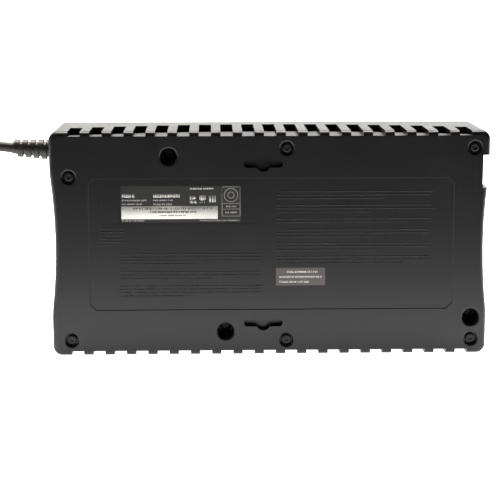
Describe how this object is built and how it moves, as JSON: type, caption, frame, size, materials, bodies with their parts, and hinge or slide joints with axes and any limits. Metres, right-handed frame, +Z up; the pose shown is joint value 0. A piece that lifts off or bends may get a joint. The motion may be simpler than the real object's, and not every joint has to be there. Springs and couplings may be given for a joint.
{
  "type": "uninterruptible power supply",
  "caption": "Low desktop uninterruptible power supply standing on its long side: keyhole base plate, vented cover, outlets, battery, inverter and mains cord.",
  "frame": {"origin": "centre of the body's box at its base, on the ribs of the long side that it stands on, without the cord", "axes": "+X along the length with the data-port end at +X and the cord at -X, +Y from the base plate to the outlet face, +Z up"},
  "size_m": [0.5236, 0.1385, 0.1734],
  "materials": {
    "case_black": "satin moulded, fine texture",
    "screw_steel": "black oxide",
    "label_grey": "printed film, matt",
    "label_film": "translucent film",
    "battery_grey": "moulded",
    "tab_brass": "tinned",
    "foam": "open cell foam",
    "wire_red": "soft insulation",
    "wire_black": "soft insulation",
    "inner_plastic": "natural nylon",
    "core_steel": "varnished laminations",
    "winding": "taped copper winding",
    "plated_steel": "zinc plated",
    "board_green": "solder mask",
    "heat_sink": "bare extrusion",
    "chip_black": "moulded epoxy",
    "relay_case": "gloss",
    "capacitor_sleeve": "gloss sleeve",
    "film_box": "gloss",
    "varistor_disc": "coated disc",
    "choke": "enamelled wire on a ring",
    "fuse_body": "clear tinted",
    "button_grey": "satin",
    "spring_steel": "drawn wire",
    "led_body": "tinted epoxy",
    "light_pipe": "clear acrylic",
    "jack_black": "moulded",
    "usb_shell": "plated shell",
    "strip_brass": "rolled strip",
    "cord_black": "matt",
    "tie_black": "hook and loop",
    "blade_brass": "bright"
  },
  "bodies": {
    "case": {"base_plate": "case_black", "battery_case": "battery_grey", "battery_foam_pad": "foam", "battery_lead_negative": "wire_black", "battery_lead_positive": "wire_red", "battery_tab_negative": "tab_brass", "battery_tab_positive": "tab_brass", "breaker_body": "chip_black", "breaker_tabs": "tab_brass", "bulk_capacitors": "capacitor_sleeve", "button_spring": "spring_steel", "buzzer": "chip_black", "case_screws": "screw_steel", "chassis_screws": "screw_steel", "controller_chip": "chip_black", "cord_coil": "cord_black", "cord_lead": "cord_black", "cord_tie": "tie_black", "earth_strip_lower": "strip_brass", "earth_strip_upper": "strip_brass", "film_capacitor": "film_box", "front_board": "board_green", "front_board_lead": "wire_black", "front_board_screws": "screw_steel", "fuse": "fuse_body", "heat_sinks": "heat_sink", "indicator_leds": "led_body", "light_pipes": "light_pipe", "line_choke": "choke", "line_strip_lower": "strip_brass", "line_strip_upper": "strip_brass", "main_board": "board_green", "main_board_screws": "screw_steel", "mains_leads": "wire_black", "neutral_strip_lower": "strip_brass", "neutral_strip_upper": "strip_brass", "outlet_block_lower": "inner_plastic", "outlet_block_upper": "inner_plastic", "phone_jacks": "jack_black", "plug_blades": "blade_brass", "plug_body": "cord_black", "port_board": "board_green", "power_cord": "cord_black", "power_transistors": "chip_black", "rating_label": "label_grey", "relays": "relay_case", "small_label": "label_film", "strain_relief": "cord_black", "tact_switch": "chip_black", "top_cover": "case_black", "transformer_bobbin": "inner_plastic", "transformer_core": "core_steel", "transformer_frame": "plated_steel", "transformer_screws": "screw_steel", "transformer_winding": "winding", "usb_socket": "usb_shell", "varistors": "varistor_disc"},
    "power_button": {"power_button": "button_grey"},
    "breaker_button": {"breaker_button": "button_grey"}
  },
  "joints": [
    {"name": "power_button_press", "type": "slide", "parent": "case", "child": "power_button", "axis": [0, -1, 0], "range_m": [0, 0.0016], "stiffness_N_per_m": 900, "springref_m": -0.0012, "deforming": ["button_spring"]},
    {"name": "breaker_reset_travel", "type": "slide", "parent": "case", "child": "breaker_button", "axis": [0, 1, 0], "range_m": [0, 0.004]}
  ]
}
